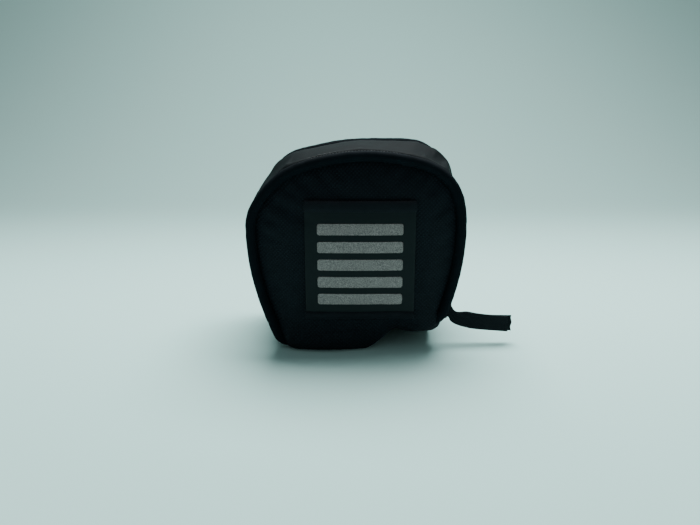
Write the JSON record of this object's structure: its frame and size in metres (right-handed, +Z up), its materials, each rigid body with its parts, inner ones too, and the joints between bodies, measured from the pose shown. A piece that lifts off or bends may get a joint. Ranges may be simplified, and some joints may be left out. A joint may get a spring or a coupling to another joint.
{
  "type": "zipped accessory pouch",
  "caption": "Small padded fabric pouch with piped edges, a zipped front flap that folds down, a reflective front patch and a ribbon zip pull.",
  "frame": {"origin": "centre of the base's underside, on the surface the pouch stands on and on the pouch's middle plane", "axes": "+X towards the ribbon pull's side, -Y out of the front flap, +Z up"},
  "size_m": [0.1121, 0.0551, 0.0836],
  "materials": {
    "woven_fabric": "fine woven nylon, matt",
    "coated_fabric": "smooth coated fabric, slight sheen",
    "foam": "closed-cell foam padding",
    "lining_fabric": "thin woven lining",
    "stiffener": "thin plastic board",
    "zip_tape": "ribbed zip tape",
    "zip_nylon": "nylon coil, satin",
    "black_metal": "black painted die-cast zinc",
    "webbing": "flat woven ribbon",
    "reflective_film": "grainy silver retro-reflective print"
  },
  "bodies": {
    "shell": {"back_panel": "woven_fabric", "back_foam": "foam", "back_lining": "lining_fabric", "back_piping": "coated_fabric", "back_seam_binding": "zip_tape", "gusset_shell": "coated_fabric", "gusset_foam": "foam", "gusset_lining": "lining_fabric", "rear_zip_tape": "zip_tape", "rear_zip_coil": "zip_nylon", "base_shell": "coated_fabric", "base_board": "stiffener", "base_lining": "lining_fabric", "zip_stop_right": "black_metal", "zip_stop_left": "black_metal", "zip_end_tab_right": "coated_fabric", "zip_end_tab_left": "coated_fabric"},
    "flap": {"front_panel": "woven_fabric", "front_foam": "foam", "front_lining": "lining_fabric", "front_piping": "coated_fabric", "front_zip_tape": "zip_tape", "front_zip_coil": "zip_nylon", "front_patch": "coated_fabric", "patch_top_binding": "woven_fabric", "patch_bottom_binding": "woven_fabric", "reflective_stripe_1": "reflective_film", "reflective_stripe_2": "reflective_film", "reflective_stripe_3": "reflective_film", "reflective_stripe_4": "reflective_film", "reflective_stripe_5": "reflective_film"},
    "slider": {"zip_slider": "black_metal"},
    "ribbon": {"pull_ribbon": "webbing"}
  },
  "joints": [
    {"name": "flap_hinge", "type": "hinge", "parent": "shell", "child": "flap", "pos_m": [0, -0.02175, 0.00225], "axis": [1, 0, 0], "range_deg": [0, 70]},
    {"name": "slider_travel", "type": "hinge", "parent": "shell", "child": "slider", "pos_m": [-0.076, -0.0157, 0.053], "axis": [0, -1, 0], "range_deg": [0, 18]},
    {"name": "ribbon_swing", "type": "hinge", "parent": "slider", "child": "ribbon", "pos_m": [0.04025, -0.0157, 0.01437], "axis": [0.3154, 0, 0.949], "range_deg": [-70, 70]}
  ]
}
